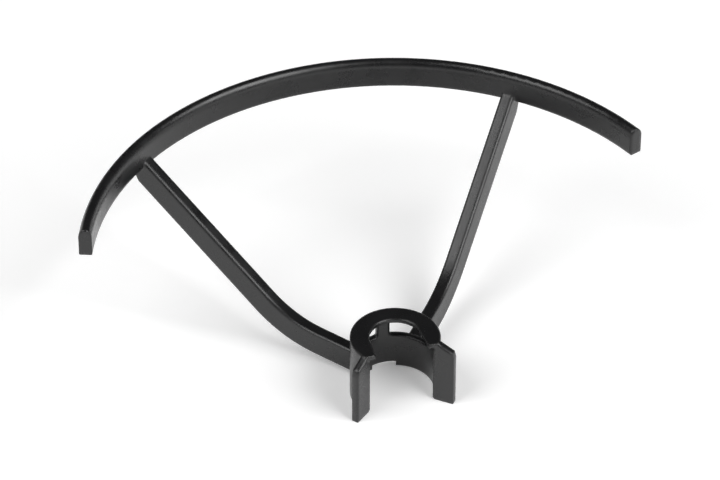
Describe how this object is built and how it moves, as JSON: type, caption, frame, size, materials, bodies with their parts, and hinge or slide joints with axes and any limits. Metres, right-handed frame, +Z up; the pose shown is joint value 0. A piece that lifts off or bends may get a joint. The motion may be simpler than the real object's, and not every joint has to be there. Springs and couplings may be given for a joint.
{
  "type": "drone propeller guard",
  "caption": "Clip-fitted propeller guard for a small drone: an arc-shaped hoop on cranked arms that rise from a C-shaped motor clip.",
  "frame": {"origin": "on the motor's axis, level with the clip's underside", "axes": "+Z up along the motor's axis, +X from the motor's axis to the middle of the hoop, +Y across the guard"},
  "size_m": [0.0504, 0.0852, 0.0278],
  "materials": {
    "guard_plastic": "black moulded plastic, semi-matte with a fine mould grain"
  },
  "bodies": {
    "root": {"propeller_guard": "guard_plastic"}
  },
  "joints": []
}
